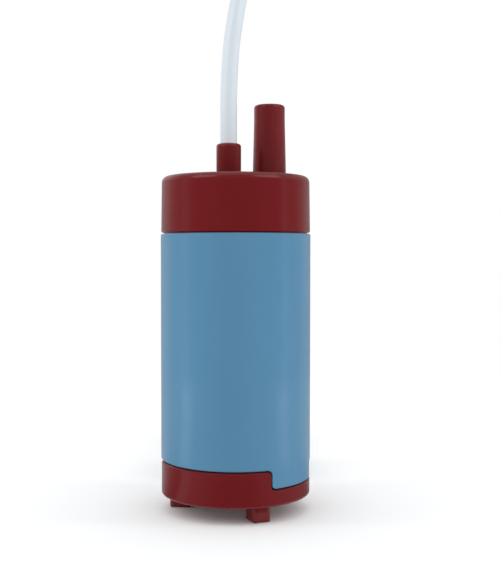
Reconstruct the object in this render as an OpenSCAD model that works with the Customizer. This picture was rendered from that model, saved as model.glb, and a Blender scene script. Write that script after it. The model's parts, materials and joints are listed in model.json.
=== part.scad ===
// Submersible 12 V water pump for a caravan water tank.
// Millimetres, +Z up. The origin lies on the pump axis, on the surface that the feet stand on.

/* [Casing] */
// Outside diameter of the casing tube
casing_d = 48; // [46:0.5:54]
// Wall of the casing tube
casing_wall = 2.2; // [2:0.1:2.8]
// Length of the casing tube from the base seam to the cap seam
casing_len = 72; // [71:0.1:90]
// Chamfer on the outer edges of the casing
casing_chamfer = 0.35; // [0.1:0.05:0.6]
// Number of ribs in the casing that centre the motor pod
rib_count = 4; // [3:1:6]
// Width of one centring rib
rib_w = 1.6; // [1:0.1:2.5]
// Height of the foot of a rib, which the seal carrier stands on
rib_foot_h = 1.7; // [1.2:0.1:1.9]

/* [Bayonet] */
// Angle that one casing tab spans
tab_angle = 50; // [44:1:60]
// Angle from the x axis at which the first tab starts
tab_start = -62; // [-80:1:-50]
// How far the tabs reach down past the base seam
tab_drop = 5.8; // [5:0.1:6.5]
// Angle that the base turns through to unlock
turn_angle = 18; // [12:1:20]
// Radius of the rounded corners of tabs and lands
step_r = 1.6; // [0.5:0.1:2]
// Open seam between the casing and the base, and round the outside of the cap's seat
seam_gap = 0.4; // [0.2:0.05:0.6]
// Angle that one bayonet lug spans
lug_angle = 10; // [8:1:14]
// Height of a bayonet lug
lug_h = 2; // [1.5:0.1:2.2]
// How far a lug stands out from the collar
lug_out = 1.2; // [0.8:0.1:1.3]
// Clearance round a lug in its slot
lug_clear = 0.2; // [0.1:0.05:0.3]

/* [Base] */
// Height of the base from its rim to the base seam
base_h = 11.3; // [10.5:0.1:13]
// How much smaller the base and the cap are in radius than the casing
flush_step = 0.14; // [0:0.02:0.3]
// Radius of the rounded lower edge of the base
rim_r = 0.8; // [0.3:0.1:1.5]
// Thickness of the strainer floor
floor_t = 1.6; // [1.2:0.1:2]
// Depth of the strainer floor above the rim
floor_recess = 0.6; // [0:0.1:0.8]
// Height of the space between the strainer floor and the inlet plate
plenum_h = 2; // [1.5:0.1:2.4]
// Number of inlet slots in the strainer floor
slot_count = 16; // [8:1:18]
// Width of one inlet slot
slot_w = 1.8; // [1:0.1:2]
// Distance from the axis at which the slots start
slot_r_in = 7.2; // [6.5:0.1:8]
// Distance from the axis at which the slots end
slot_r_out = 12.6; // [11:0.1:13]
// Wall of the collar that enters the casing
collar_wall = 2.2; // [2:0.1:2.6]
// Height of the collar above the base seam
collar_h = 3.5; // [3.2:0.1:3.6]
// Radial clearance of the collar in the casing
collar_clear = 0.2; // [0.1:0.05:0.3]
// Width of the ledge that the inlet plate rests on
ledge_w = 1.4; // [0.8:0.1:2]
// Radius of the small index notch in the rim
notch_r = 0.6; // [0.3:0.1:1]
// Angle from the x axis of the index notch
notch_angle = -121.5; // [-140:0.5:-110]

/* [Feet] */
// Height of the feet below the rim
foot_h = 5.2; // [4:0.1:8]
// Width of a foot across its radius
foot_w = 6.2; // [4:0.1:8]
// Length of a foot along its radius
foot_len = 7.2; // [5:0.1:7.6]
// Distance from the axis to the outer end of a foot
foot_reach = 21.3; // [20.5:0.1:22]
// Radius of the rounded upright edges of a foot
foot_edge_r = 1.8; // [0.4:0.1:1.9]
// Radius of the rounded lower edges of a foot
foot_toe_r = 1; // [0.3:0.1:1.5]
// Number of feet
foot_count = 3; // [3:1:4]
// Angle from the x axis of the first foot
foot_angle = -67; // [-90:1:-45]

/* [Cap] */
// Height of the cap above the casing
cap_h = 18.3; // [17:0.1:26]
// Thickness of the top of the cap
cap_top_t = 2.6; // [2:0.1:3.5]
// How much the radius of the cap draws in towards its top
cap_draft = 0.22; // [0:0.02:0.6]
// Radius of the rounded top edge of the cap
cap_edge_r = 2; // [1:0.1:3]
// Length of the plug of the cap inside the casing
plug_len = 5; // [4.4:0.1:5.2]
// Wall of the plug
plug_wall = 2.1; // [1.9:0.1:2.6]
// Radial clearance of the plug in the casing
plug_clear = 0.1; // [0.05:0.05:0.2]
// Depth of the seats in the top of the cap for the hose tail and the gland
seat_depth = 1.2; // [0.8:0.1:1.4]

/* [Outlet] */
// Distance of the outlet from the axis along x
outlet_x = 11.1; // [10.5:0.1:12]
// Distance of the outlet from the axis along y
outlet_y = 8; // [7:0.1:9]
// Diameter of the hose tail at its tip
outlet_tip_d = 10.1; // [9.5:0.1:10.6]
// Diameter of the hose tail at its root
outlet_root_d = 11; // [10.8:0.1:12]
// Bore of the hose tail
outlet_bore_d = 7.5; // [6:0.1:8]
// Length of the hose tail above the cap
outlet_len = 24; // [18:0.5:35]
// Length of the straight land at the tip
outlet_land = 5; // [3:0.5:8]
// Radius of the rounded edge at the tip
outlet_edge_r = 1; // [0.3:0.1:1.2]

/* [Cable gland] */
// Place of the gland along x
gland_x = -2.2; // [-2.6:0.1:-1.8]
// Place of the gland along y
gland_y = -1.6; // [-2:0.1:-1.2]
// Diameter of the gland
gland_d = 7.9; // [7.8:0.1:9]
// Height of the gland above the cap
gland_h = 10.4; // [8:0.1:14]
// Radius of the rounded rim of the gland
gland_edge_r = 1; // [0.4:0.1:1.1]
// Length of the lip at the mouth of the gland
gland_lip = 2; // [1:0.1:3]
// Wall of the rubber grommet in the gland
grommet_wall = 0.5; // [0.4:0.05:0.5]
// Thickness of the flange of the grommet
grommet_flange_t = 1.6; // [1:0.1:2.5]
// Wall of the socket that takes the cable riser
socket_wall = 1.8; // [1.4:0.1:2.2]
// Depth of the socket below the top of the cap
socket_depth = 7; // [6:0.1:8]
// Wall of the cable riser
riser_wall = 1.5; // [1.4:0.1:1.8]

/* [Impeller] */
// Diameter of the impeller
impeller_d = 30; // [26:0.5:34]
// Number of vanes
vane_count = 6; // [4:1:7]
// Height of a vane
vane_h = 4.2; // [3:0.1:4.6]
// Thickness of a vane
vane_t = 1.2; // [0.8:0.1:1.6]
// Radius of the arc of a vane
vane_arc_r = 11; // [10:0.5:12]
// Distance from the axis to the middle of the arc of a vane
vane_arc_offset = 9; // [8:0.5:10]
// Thickness of the shroud disc
shroud_t = 1.2; // [0.8:0.1:1.6]
// Diameter of the hub
hub_d = 8; // [6.5:0.1:9]
// Height of the hub above the shroud
hub_rise = 1.4; // [1:0.1:1.8]
// Running gap below and above the impeller
run_gap = 0.5; // [0.3:0.05:0.6]
// Thickness of the inlet plate
plate_t = 1.6; // [1.2:0.1:2]
// Diameter of the eye of the inlet plate
eye_d = 13; // [11:0.5:14]

/* [Seal carrier] */
// Outside diameter of the shaft seal
seal_d = 10; // [9:0.5:11]
// Thickness of the shaft seal
seal_t = 3.5; // [3:0.1:4]
// Thickness of the washer under the seal
seal_washer_t = 0.6; // [0.4:0.1:1]
// Wall round the seal at the tip of the carrier
tip_wall = 2.2; // [2:0.1:3]
// Thickness of the web between the seal and the motor
web_t = 0.8; // [0.6:0.1:1.2]
// Thickness of the flange of the carrier
carrier_flange_t = 1.2; // [1:0.1:1.6]
// Length of the plug of the carrier in the pod
carrier_plug = 3.6; // [3.4:0.1:4]
// Number of diffuser ribs
diffuser_count = 6; // [4:1:9]
// Thickness of a diffuser rib
diffuser_t = 1.2; // [0.8:0.1:2]

/* [Motor pod] */
// Wall of the pod
pod_wall = 1.1; // [1:0.1:1.3]
// Radial gap between the motor and the pod
pod_gap = 0.3; // [0.2:0.05:0.4]
// Thickness of the flange of the lid
lid_t = 1.6; // [1.2:0.1:1.8]
// Length of the plug of the lid in the pod
lid_plug = 3.6; // [3.4:0.1:3.7]
// Height of the rubber ring between the motor and the lid
cushion_h = 3.4; // [3.2:0.1:3.5]

/* [Motor] */
// Diameter of the motor can
motor_d = 35.8; // [35:0.1:36]
// Length of the motor without its bosses
motor_len = 46; // [45:0.1:46.4]
// Wall of the motor can
can_wall = 1.3; // [1:0.1:1.5]
// Diameter of the boss at the front of the can
boss_d = 12.4; // [11.5:0.1:13]
// Height of the boss at the front of the can
boss_h = 3; // [2.6:0.1:3.4]
// Length of the end cap behind the can
end_cap_h = 7; // [6.5:0.1:8]
// Length of the end cap inside the can
end_cap_plug = 3.5; // [3:0.1:4]
// Height of the bearing boss on the end cap
rear_boss_h = 2.2; // [1.8:0.1:2.4]
// Diameter of the shaft
shaft_d = 3.175; // [3:0.025:3.3]
// Diameter of the bearing bushes
bush_d = 8; // [7:0.1:8.4]
// Radial running clearance of the shaft
shaft_clear = 0.03; // [0.02:0.01:0.08]
// Thickness of the magnets
magnet_t = 3.3; // [3:0.1:3.5]
// Length of the magnets
magnet_len = 26; // [24:0.5:28]
// Angle that one magnet spans
magnet_angle = 130; // [110:1:140]
// Air gap between the magnets and the armature
air_gap = 0.5; // [0.3:0.05:0.8]
// Length of the armature core
core_len = 22; // [20:0.5:23]
// Number of armature poles
pole_count = 5; // [5:2:5]
// Width of the neck of a pole
neck_w = 4; // [3.5:0.1:4.4]
// Thickness of the shoe of a pole
shoe_t = 2.1; // [1.8:0.1:2.2]
// Opening between two pole shoes
shoe_gap = 2.2; // [1.5:0.1:3]
// Thickness of the winding on each side of a neck
coil_t = 2.3; // [1.5:0.1:2.4]
// Diameter of the commutator
commutator_d = 8.6; // [8:0.1:9.5]
// Length of the commutator
commutator_len = 6.5; // [6:0.1:7]
// Gap between the commutator bars
bar_gap = 0.4; // [0.3:0.05:0.6]
// Width of a brush along the turning direction
brush_w = 3; // [2.5:0.1:3.5]
// Height of a brush
brush_h = 4; // [3:0.1:4.4]
// Length of a brush
brush_len = 6; // [5:0.1:6.5]
// Thickness of a terminal leaf
terminal_t = 0.4; // [0.3:0.05:0.6]
// Width of a terminal leaf
terminal_w = 4.8; // [4:0.1:5]

/* [Seals] */
// Thickness of the O-rings on the base and the cap
o_ring_d = 1.6; // [1.4:0.05:1.7]
// Thickness of the O-rings on the pod and the riser
small_ring_d = 1.3; // [1.1:0.05:1.4]
// Clearance of an O-ring in its groove and bore
ring_clear = 0.05; // [0.02:0.01:0.1]
// Clearance between pieces that are fixed together
fit = 0.05; // [0.02:0.01:0.1]

/* [Cable] */
// Diameter of the cable
cable_d = 5.3; // [5:0.1:5.4]
// Diameter of one insulated core
core_d = 2; // [1.6:0.1:2.2]
// Diameter of the bare strands of one core
strand_d = 1.1; // [0.8:0.1:1.3]
// Stripped length of one core
strand_len = 8; // [5:0.5:12]
// Length of a core outside the sheath
core_end_len = 22; // [15:1:30]
// Diameter of the lead wires in the pod
lead_d = 1.5; // [1.2:0.1:1.6]
// Height of the clamp on the cable under the lid
clamp_h = 2.2; // [1.6:0.1:2.4]
// Wall of that clamp
clamp_wall = 2.2; // [1.5:0.1:2.6]

/* [Hank] */
// Place along y of the arcs nearest to the pump
hank_near = 54; // [54:1:60]
// Length of the runs between the arcs
hank_run = 60; // [60:1:72]
// Radius of the inner arcs
hank_r = 16; // [15:0.5:18]
// Half width of the inner loop at the waist
hank_waist = 4.8; // [4.6:0.1:6]
// Step between two loops side by side
hank_step = 7; // [6.8:0.1:7.5]
// Step between the two layers
hank_layer = 5.9; // [5.8:0.1:6.4]
// Rings of the tube in the whole hank, with 24 to a loop
hank_rings = 58; // [57:1:59]
// Width of the tie
tie_w = 4.8; // [3:0.1:8]
// Thickness of the tie
tie_t = 1.1; // [0.8:0.1:1.4]

/* [Hidden] */
$fn = 64;

// Amount by which cutting shapes reach past the faces that they cut, and roundings cross those they join
over = 1;
lap = 0.05;

// Radii of the casing, the base and the cap
casing_r = casing_d / 2;
casing_in = casing_r - casing_wall;
base_r = casing_r - flush_step;
collar_r = casing_in - collar_clear;
collar_in = collar_r - collar_wall;
collar_mid = collar_r - collar_wall / 2;
plug_r = casing_in - plug_clear;
plug_in = plug_r - plug_wall;
seat_r = casing_r - casing_wall / 2;

// Heights of the outside, from the feet up
z_rim = foot_h;
z_seam = z_rim + base_h;
z_tab = z_seam - tab_drop;
z_step = z_tab - seam_gap;
z_land = z_seam - seam_gap;
z_cap = z_seam + casing_len;
z_top = z_cap + cap_h;
z_seat = z_top - seat_depth;
z_tail = z_top + outlet_len;
z_gland = z_top + gland_h;
z_collar = z_seam + collar_h;
seam_deg = seam_gap / casing_r * 180 / PI;

// Heights of the pump end
z_floor = z_rim + floor_recess;
z_plate = z_floor + floor_t + plenum_h;
z_vane = z_plate + plate_t + run_gap;
z_shroud = z_vane + vane_h;
z_hub = z_shroud + shroud_t + hub_rise;
z_tip = z_hub + run_gap;
z_seal = z_tip + seal_washer_t;
z_web = z_seal + seal_t;
z_motor = z_web + web_t + boss_h + fit;
z_carrier_plug = z_motor - carrier_plug;
z_flange = z_carrier_plug - carrier_flange_t;
nose_r = 1;
hub_blind = 1.5;
seal_step = 1;
shaft_pass = 0.8;
can_pass = 0.6;

// Radii and heights of the motor pod
motor_r = motor_d / 2;
pod_in = motor_r + pod_gap;
pod_r = pod_in + pod_wall;
pod_plug_r = pod_in - fit;
z_motor_end = z_motor + motor_len;
z_lid_plug = z_motor_end + cushion_h;
z_lid = z_lid_plug + lid_plug;
rib_in = pod_r + fit;
z_rib_top = min(z_lid, z_cap - plug_len - fit);

// Bayonet lugs and their slots
tab_count = 2;
tab_end = tab_start + tab_angle;
lug_start = tab_start + (tab_angle + turn_angle - lug_angle) / 2;
lug_deg = lug_clear / collar_r * 180 / PI;
z_lug = z_tab + (tab_drop - lug_h) / 2;
lug_r = collar_r + lug_out;

// Cable riser, socket and grommet
gland_bore_r = cable_d / 2 + fit;
grommet_r = gland_bore_r + grommet_wall;
riser_in = cable_d / 2 + 2 * fit;
riser_r = riser_in + riser_wall;
socket_r = riser_r + fit + socket_wall;
z_socket = z_top - socket_depth;
z_ceiling = z_top - cap_top_t;
z_riser_top = z_ceiling - grommet_flange_t;
riser_collar_h = 2;
riser_groove_h = small_ring_d + 4 * ring_clear;
riser_ring_drop = 1.2;
z_riser_groove = z_riser_top - riser_ring_drop - riser_groove_h;

// Parts of the motor across its axis
can_in = motor_r - can_wall;
magnet_in = can_in - fit - magnet_t;
core_r = magnet_in - air_gap;
shoe_in = core_r - shoe_t;
core_hub_r = 4.8;
coil_in = 6.5;
coil_half = neck_w / 2 + coil_t;
coil_out = sqrt(pow(shoe_in - fit, 2) - pow(coil_half, 2));
bar_t = 1.5;
commutator_in = commutator_d / 2 - bar_t;
shaft_r = shaft_d / 2;
shaft_hole_r = shaft_r + shaft_clear;
bush_r = bush_d / 2;
bush_step = 0.5;
washer_r = 3.6;
sleeve_r = 2.8;
peg_r = 1.4;
peg_spread = 12.5;
cushion_w = 5;
cushion_inset = 0.5;
cap_skirt = 1.4;
holder_wall = 1.5;
holder_gap = 1;
terminal_x = commutator_d / 2 + shaft_clear + brush_len + fit;

// Parts of the motor along its axis, set from its rear end forwards
end_wall_t = 2.4;
washer_t = 0.5;
washer_play = 1.2;
coil_bulge = 0.7;
coil_play = 0.4;
magnet_play = 1.5;
boss_lip = 0.5;
holder_drop = 0.6;
terminal_rise = 4;
shaft_short = 0.3;
coil_over = coil_t + coil_bulge;
z_end_cap = z_motor_end - end_cap_h;
z_end_wall = z_motor_end - end_wall_t;
z_commutator = z_end_wall - washer_play - washer_t - commutator_len;
z_holder = z_commutator + holder_drop;
z_brush = z_commutator + (commutator_len - brush_h) / 2;
z_core = z_commutator - coil_play - coil_over - core_len;
z_magnet = z_end_cap - end_cap_plug - magnet_play - magnet_len;
z_shaft_end = z_motor_end + rear_boss_h - shaft_short;
z_cable_end = z_lid - clamp_h;

// Route of the free cable from the gland over the back of the pump to the floor
cable_route = [
    [-2.2, -1.6, 117.2], [-2.2, -1.6, 124], [-2.2, -1.6, 132], [-1.9, -1.6, 140],
    [-1.3, -1.5, 148.5], [0, -1.2, 157.5], [1.6, 0.6, 167], [2.6, 5, 178],
    [3, 13, 188], [3.2, 24, 196], [3.2, 37, 200], [3, 51, 199.5],
    [2.4, 64, 194.5], [1.2, 75, 184.5], [-0.4, 80, 174], [-1.8, 82, 164],
    [-2.5, 83, 154], [-2.9, 83.5, 142], [-3, 83, 128], [-2, 81, 114],
    [1, 77, 98], [6, 71, 80], [12, 64.5, 62], [18, 59.5, 45],
    [21.5, 58, 31], [22.8, 60.5, 18], [23, 68, 8.5], [23, 79, 3.8],
    [23, 90, 2.7], [23, 98, 2.7]
];

// Shared shapes

module tube(outer_r, inner_r, z, h) {
    difference() {
        translate([0, 0, z]) cylinder(r = outer_r, h = h);
        translate([0, 0, z - over]) cylinder(r = inner_r, h = h + 2 * over);
    }
}

module disc(r, z, h) {
    translate([0, 0, z]) cylinder(r = r, h = h);
}

module ring(r, d, z) {
    translate([0, 0, z]) rotate_extrude() translate([r, 0]) circle(d = d);
}

module sector(inner_r, outer_r, z, h, start, angle) {
    rotate([0, 0, start]) rotate_extrude(angle = angle)
        translate([inner_r, z]) square([outer_r - inner_r, h]);
}

module around(count, start = 0) {
    for (i = [0:count - 1]) rotate([0, 0, start + i * 360 / count]) children();
}

module at_gland() {
    translate([gland_x, gland_y, 0]) children();
}

module at_outlet() {
    translate([outlet_x, outlet_y, 0]) children();
}

module rounded_rect(w, h, r) {
    square([w - 2 * r, h], center = true);
    square([w, h - 2 * r], center = true);
    for (x = [-1, 1], y = [-1, 1])
        translate([x * (w / 2 - r), y * (h / 2 - r)]) circle(r = r);
}

// Square corner less its rounding, along the radius at an angle: side and up give the way to the round
module corner(angle, z, side, up) {
    reach = casing_r + over - collar_in;
    size = step_r + over;
    rotate([0, 0, angle]) translate([collar_in, 0, z]) difference() {
        translate([0, side > 0 ? -over : -step_r, up > 0 ? -over : -step_r]) cube([reach, size, size]);
        translate([-over, side * (step_r - lap), up * (step_r - lap)]) rotate([0, 90, 0])
            cylinder(r = step_r, h = reach + 2 * over);
    }
}

// Tubes swept along a list of points

function unit(v) = v / norm(v);
function heading(path, i) = unit(path[min(i + 1, len(path) - 1)] - path[max(i - 1, 0)]);
function tube_ring(p, along, side, r, sides) = let (up = cross(along, side))
    [for (k = [0:sides - 1]) p + r * (cos(360 * k / sides) * side + sin(360 * k / sides) * up)];

module swept(path, d, sides, across) {
    last = len(path) - 1;
    points = [for (i = [0:last]) let (along = heading(path, i))
        each tube_ring(path[i], along, unit(cross(across, along)), d / 2, sides)];
    walls = [for (i = [0:last - 1], k = [0:sides - 1])
        let (a = i * sides + k, b = i * sides + (k + 1) % sides)
        each [[a, a + sides, b + sides], [a, b + sides, b]]];
    ends = [for (k = [1:sides - 2], e = [0, 1])
        e == 0 ? [0, k, k + 1] : [last * sides, last * sides + k + 1, last * sides + k]];
    polyhedron(points = points, faces = concat(walls, ends), convexity = 10);
}

// Outer pieces

module casing_ring() {
    c = casing_chamfer;
    rotate_extrude() polygon([
        [casing_in, z_tab], [casing_r - c, z_tab], [casing_r, z_tab + c],
        [casing_r, z_cap - c], [casing_r - c, z_cap], [casing_in, z_cap]
    ]);
}

// Space between two casing tabs, with a chamfer along the seam above it and rounded upper corners
module land_space() {
    c = casing_chamfer;
    angle = 360 / tab_count - tab_angle;
    difference() {
        rotate([0, 0, tab_end]) rotate_extrude(angle = angle) polygon([
            [casing_in - over, z_tab - over], [casing_r + over, z_tab - over],
            [casing_r + over, z_seam + c + over], [casing_r - c, z_seam], [casing_in - over, z_seam]
        ]);
        corner(tab_end, z_seam, 1, -1);
        corner(tab_end + angle, z_seam, -1, -1);
    }
}

module casing_ribs() {
    root = casing_in + casing_wall / 2;
    foot_in = pod_in + fit;
    around(rib_count, 180 / rib_count) {
        translate([rib_in, -rib_w / 2, z_flange - rib_foot_h])
            cube([root - rib_in, rib_w, z_rib_top - z_flange + rib_foot_h]);
        translate([foot_in, -rib_w / 2, z_flange - rib_foot_h]) cube([root - foot_in, rib_w, rib_foot_h]);
    }
}

module bayonet_slots() {
    low = z_lug - lug_clear;
    high = z_lug + lug_h + lug_clear;
    around(tab_count) {
        sector(casing_in - over, lug_r + lug_clear, low, high - low,
            lug_start - turn_angle - lug_deg, lug_angle + turn_angle + 2 * lug_deg);
        sector(casing_in - over, lug_r + lug_clear, z_tab - over, high - z_tab + over,
            lug_start - turn_angle - lug_deg, lug_angle + 2 * lug_deg);
    }
}

module casing() {
    color("steelblue") difference() {
        union() {
            casing_ring();
            casing_ribs();
        }
        around(tab_count) {
            land_space();
            corner(tab_start, z_tab, 1, 1);
            corner(tab_end, z_tab, -1, 1);
        }
        bayonet_slots();
    }
}

module cap_shell() {
    c = casing_chamfer;
    top_r = base_r - cap_draft;
    rotate_extrude() {
        polygon([
            [0, z_cap], [seat_r, z_cap], [seat_r, z_cap + seam_gap], [base_r - c, z_cap + seam_gap],
            [base_r, z_cap + seam_gap + c], [top_r, z_top - cap_edge_r],
            [top_r - cap_edge_r, z_top], [0, z_top]
        ]);
        translate([top_r - cap_edge_r, z_top - cap_edge_r]) circle(r = cap_edge_r);
    }
}

module top_cap() {
    groove_r = casing_in - o_ring_d - 2 * ring_clear;
    z_plug = z_cap - plug_len;
    groove_h = o_ring_d + 4 * ring_clear;
    color("firebrick") difference() {
        union() {
            difference() {
                union() {
                    cap_shell();
                    disc(plug_r, z_plug, plug_len + over);
                }
                disc(plug_in, z_plug - over, z_ceiling - z_plug + over);
            }
            at_gland() disc(socket_r, z_socket, z_ceiling - z_socket + over);
        }
        at_outlet() {
            disc(outlet_bore_d / 2, z_ceiling - over, cap_top_t + 2 * over);
            disc(outlet_root_d / 2 + fit, z_seat, seat_depth + over);
        }
        at_gland() {
            disc(grommet_r + fit, z_socket - over, z_top - z_socket + 2 * over);
            disc(gland_d / 2 + fit, z_seat, seat_depth + over);
            disc(riser_r + fit, z_socket - over, z_ceiling - z_socket + over);
        }
        tube(casing_r, groove_r, z_plug + (plug_len - groove_h) / 2, groove_h);
    }
}

// Hose tail and cable gland, each glued into its seat in the cap
module outlet_tail() {
    tip_r = outlet_tip_d / 2;
    root_r = outlet_root_d / 2;
    color("firebrick") at_outlet() difference() {
        rotate_extrude() {
            polygon([
                [0, z_seat], [root_r, z_seat], [root_r, z_top], [tip_r, z_tail - outlet_land],
                [tip_r, z_tail - outlet_edge_r], [tip_r - outlet_edge_r, z_tail], [0, z_tail]
            ]);
            translate([tip_r - outlet_edge_r, z_tail - outlet_edge_r]) circle(r = outlet_edge_r);
        }
        disc(outlet_bore_d / 2, z_seat - over, z_tail - z_seat + 2 * over);
    }
}

module cable_gland() {
    r = gland_d / 2;
    color("firebrick") at_gland() difference() {
        union() {
            disc(r, z_seat, z_gland - gland_edge_r - z_seat);
            disc(r - gland_edge_r, z_seat, z_gland - z_seat);
            ring(r - gland_edge_r, 2 * gland_edge_r, z_gland - gland_edge_r);
        }
        disc(gland_bore_r, z_seat - over, z_gland - z_seat + 2 * over);
        disc(grommet_r + fit, z_seat - over, z_gland - gland_lip - z_seat + over);
    }
}

// Pump end

module base_ring() {
    c = casing_chamfer;
    rotate_extrude() {
        polygon([
            [collar_mid, z_rim], [base_r - rim_r, z_rim], [base_r, z_rim + rim_r],
            [base_r, z_land - c], [base_r - c, z_land], [collar_mid, z_land]
        ]);
        translate([base_r - rim_r, z_rim + rim_r]) circle(r = rim_r);
    }
}

// Space for a casing tab and its turn, with rounded corners and a chamfer along the step below it
module tab_space() {
    c = casing_chamfer;
    start = tab_start - seam_deg;
    angle = tab_angle + turn_angle + 2 * seam_deg;
    inner_r = (collar_mid + collar_r) / 2;
    round_deg = asin(step_r / base_r);
    difference() {
        sector(inner_r, base_r + over, z_step, tab_drop + over, start, angle);
        corner(start, z_step, 1, 1);
        corner(start + angle, z_step, -1, 1);
    }
    rotate([0, 0, start + round_deg]) rotate_extrude(angle = angle - 2 * round_deg) polygon([
        [base_r - c, z_step], [base_r + over, z_step - c - over], [base_r + over, z_step + over],
        [base_r - c, z_step + over]
    ]);
    corner(start, z_land, -1, -1);
    corner(start + angle, z_land, 1, -1);
}

module foot() {
    depth = z_floor + floor_t / 2;
    big = foot_len + foot_w + depth;
    translate([foot_reach - foot_len / 2, 0, 0]) intersection() {
        linear_extrude(depth) rounded_rect(foot_len, foot_w, foot_edge_r);
        translate([0, 0, depth]) rotate([90, 0, 0]) linear_extrude(big, center = true)
            rounded_rect(foot_len, 2 * depth, foot_toe_r);
        translate([0, 0, depth]) rotate([90, 0, 90]) linear_extrude(big, center = true)
            rounded_rect(foot_w, 2 * depth, foot_toe_r);
    }
}

module inlet_slot() {
    slot_mid = (slot_r_in + slot_r_out) / 2;
    translate([slot_mid, 0, z_floor - over]) linear_extrude(floor_t + 2 * over)
        rounded_rect(slot_r_out - slot_r_in, slot_w, slot_w / 2 - fit);
}

module strainer_base() {
    groove_r = casing_in - o_ring_d - 2 * ring_clear;
    groove_h = o_ring_d + 4 * ring_clear;
    color("darkred") difference() {
        union() {
            difference() {
                base_ring();
                around(tab_count) tab_space();
            }
            tube(collar_r, collar_in, z_rim, z_collar - z_rim);
            disc(collar_in + over, z_floor, floor_t);
            tube(collar_in + over / 2, collar_in - ledge_w, z_floor, z_plate - z_floor);
            around(tab_count) sector(collar_mid, lug_r, z_lug, lug_h, lug_start, lug_angle);
            around(foot_count, foot_angle) foot();
        }
        around(slot_count) inlet_slot();
        tube(casing_r, groove_r, z_seam + (collar_h - groove_h) / 2, groove_h);
        rotate([0, 0, notch_angle]) translate([casing_r, 0, z_rim - notch_r / 2]) rotate([0, 90, 0])
            cylinder(r = notch_r, h = 2 * casing_wall, center = true);
    }
}

module inlet_plate() {
    lip = 1.2;
    color("gainsboro") difference() {
        union() {
            disc(collar_in - fit, z_plate, plate_t);
            disc(eye_d / 2 + lip, z_plate - plenum_h / 3, plate_t);
        }
        disc(eye_d / 2, z_plate - plenum_h, plate_t + 2 * plenum_h);
    }
}

module vane() {
    tip_inset = 0.3;
    height = vane_h + shroud_t / 2;
    intersection() {
        translate([vane_arc_offset, 0, 0])
            tube(vane_arc_r + vane_t / 2, vane_arc_r - vane_t / 2, z_vane, height);
        tube(impeller_d / 2 - tip_inset, (hub_d - nose_r) / 2, z_vane, height);
        translate([-impeller_d, 0, z_vane]) cube([2 * impeller_d, impeller_d, height]);
    }
}

module impeller() {
    hub_r = hub_d / 2;
    color("whitesmoke") difference() {
        union() {
            rotate_extrude() {
                translate([0, z_vane]) square([hub_r - nose_r, z_hub - z_vane]);
                translate([0, z_vane + nose_r]) square([hub_r, z_hub - z_vane - nose_r]);
                translate([hub_r - nose_r, z_vane + nose_r]) circle(r = nose_r);
                translate([0, z_shroud]) square([impeller_d / 2, shroud_t]);
            }
            around(vane_count) vane();
        }
        disc(shaft_r, z_vane + hub_blind, z_hub - z_vane);
    }
}

module seal_carrier() {
    tip_r = seal_d / 2 + tip_wall;
    cone_r = pod_in - fit;
    pocket_out = pod_plug_r - small_ring_d - 1.4;
    pocket_in = boss_d / 2 + 2;
    groove_r = pod_in - small_ring_d - 2 * ring_clear;
    groove_h = small_ring_d + 4 * ring_clear;
    peg_h = 1.4;
    color("ivory") difference() {
        union() {
            translate([0, 0, z_tip]) cylinder(r1 = tip_r, r2 = cone_r, h = z_flange - z_tip);
            around(diffuser_count) translate([tip_r - over, -diffuser_t / 2, z_tip])
                cube([cone_r - tip_r, diffuser_t, z_flange - z_tip]);
            disc(pod_r, z_flange, carrier_flange_t);
            difference() {
                disc(pod_plug_r, z_flange, z_motor - z_flange);
                tube(pocket_out, pocket_in, z_carrier_plug + 0.6, carrier_plug);
            }
            around(2, 90) translate([peg_spread, 0, 0]) {
                disc(peg_r + 1, z_carrier_plug, carrier_plug);
                disc(peg_r, z_carrier_plug, carrier_plug + peg_h);
            }
        }
        disc(shaft_r + shaft_pass, z_tip - over, z_motor);
        disc(seal_d / 2, z_tip - over, z_web - z_tip + over);
        disc(seal_d / 2 + seal_step, z_tip - over, seal_washer_t + over);
        disc(boss_d / 2 + fit, z_web + web_t, z_motor);
        tube(casing_r, groove_r, z_carrier_plug + (carrier_plug - groove_h) / 2, groove_h);
    }
}

module shaft_seal() {
    lip_t = 0.7;
    rim_t = 1.2;
    color("dimgray") rotate_extrude() polygon([
        [seal_d / 2 - fit, z_seal], [seal_d / 2 - fit, z_web], [shaft_hole_r + 1.4, z_web],
        [shaft_hole_r + 1.4, z_web - lip_t], [seal_d / 2 - rim_t, z_web - lip_t],
        [seal_d / 2 - rim_t, z_seal + 1.6], [shaft_hole_r + lip_t, z_seal + 0.9],
        [shaft_hole_r, z_seal + 0.3], [shaft_hole_r, z_seal]
    ]);
}

module seal_washer() {
    color("silver") tube(seal_d / 2 + seal_step - fit, shaft_r + shaft_pass, z_tip, seal_washer_t);
}

// Motor pod and seals

module motor_pod() {
    color("ivory") tube(pod_r, pod_in, z_carrier_plug, z_lid - z_carrier_plug);
}

module pod_lid() {
    ring_in = pod_plug_r - small_ring_d - 1.6;
    groove_r = pod_in - small_ring_d - 2 * ring_clear;
    groove_h = small_ring_d + 4 * ring_clear;
    riser_groove_r = riser_r + fit - small_ring_d - ring_clear;
    color("ivory") difference() {
        union() {
            disc(pod_r, z_lid, lid_t);
            difference() {
                disc(pod_plug_r, z_lid_plug, lid_plug);
                disc(ring_in, z_lid_plug - over, lid_plug + over);
                tube(casing_r, groove_r, z_lid_plug + (lid_plug - groove_h) / 2, groove_h);
            }
            at_gland() {
                disc(riser_r, z_lid, z_riser_top - z_lid);
                disc(socket_r, z_socket - riser_collar_h, riser_collar_h);
            }
        }
        at_gland() {
            disc(riser_in, z_lid - over, z_riser_top - z_lid + 2 * over);
            tube(casing_r, riser_groove_r, z_riser_groove, riser_groove_h);
        }
    }
}

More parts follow.
